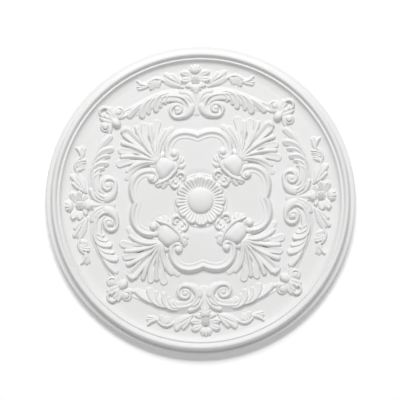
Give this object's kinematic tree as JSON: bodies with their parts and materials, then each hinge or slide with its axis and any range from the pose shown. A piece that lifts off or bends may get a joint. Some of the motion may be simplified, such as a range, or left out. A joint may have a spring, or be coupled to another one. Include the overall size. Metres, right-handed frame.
{
  "type": "ceiling rose",
  "caption": "Round moulded ceiling rose with a turned rim, a quatrefoil frame round a petalled rosette, palmettes, leaf scrolls and flowers in low relief on a flat back.",
  "frame": {"origin": "centre of the flat back, where the rose meets the ceiling", "axes": "+Z out of the back through the ornament, towards the viewer; +X and +Y through the flowers on the axes, so the palmettes lie on the diagonals"},
  "size_m": [0.7, 0.7, 0.035],
  "materials": {
    "primed_foam": "matt white factory primer on moulded hard foam"
  },
  "bodies": {
    "root": {"ceiling_rose": "primed_foam"}
  },
  "joints": []
}
